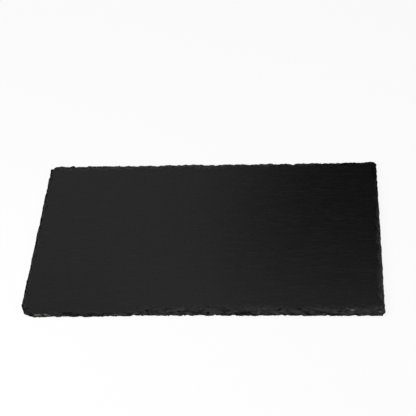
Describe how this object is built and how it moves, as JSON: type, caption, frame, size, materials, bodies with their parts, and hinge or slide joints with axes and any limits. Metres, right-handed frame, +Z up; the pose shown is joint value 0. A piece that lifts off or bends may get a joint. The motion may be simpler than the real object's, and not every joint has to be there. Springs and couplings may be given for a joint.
{
  "type": "slate serving board",
  "caption": "Rectangular slab of riven slate with hand-chipped edges and a knocked-off corner, on small rubber feet, for carrying and serving food.",
  "frame": {"origin": "on the table, under the middle of the board", "axes": "+X along the long side to the diner's right, +Y to the rear, +Z up; the front, at -Y, is the side with the widest chipping"},
  "size_m": [0.53, 0.325, 0.0094],
  "materials": {
    "riven_slate": "black slate, split along its cleavage, satin face and matt chipped edges",
    "moulded_rubber": "matt black moulded rubber",
    "acrylic_adhesive": "milky double-sided acrylic tape"
  },
  "bodies": {
    "root": {"slate_slab": "riven_slate", "rubber_foot_front_left": "moulded_rubber", "rubber_foot_front_right": "moulded_rubber", "rubber_foot_rear_right": "moulded_rubber", "rubber_foot_rear_left": "moulded_rubber", "adhesive_disc_front_left": "acrylic_adhesive", "adhesive_disc_front_right": "acrylic_adhesive", "adhesive_disc_rear_right": "acrylic_adhesive", "adhesive_disc_rear_left": "acrylic_adhesive"}
  },
  "joints": []
}
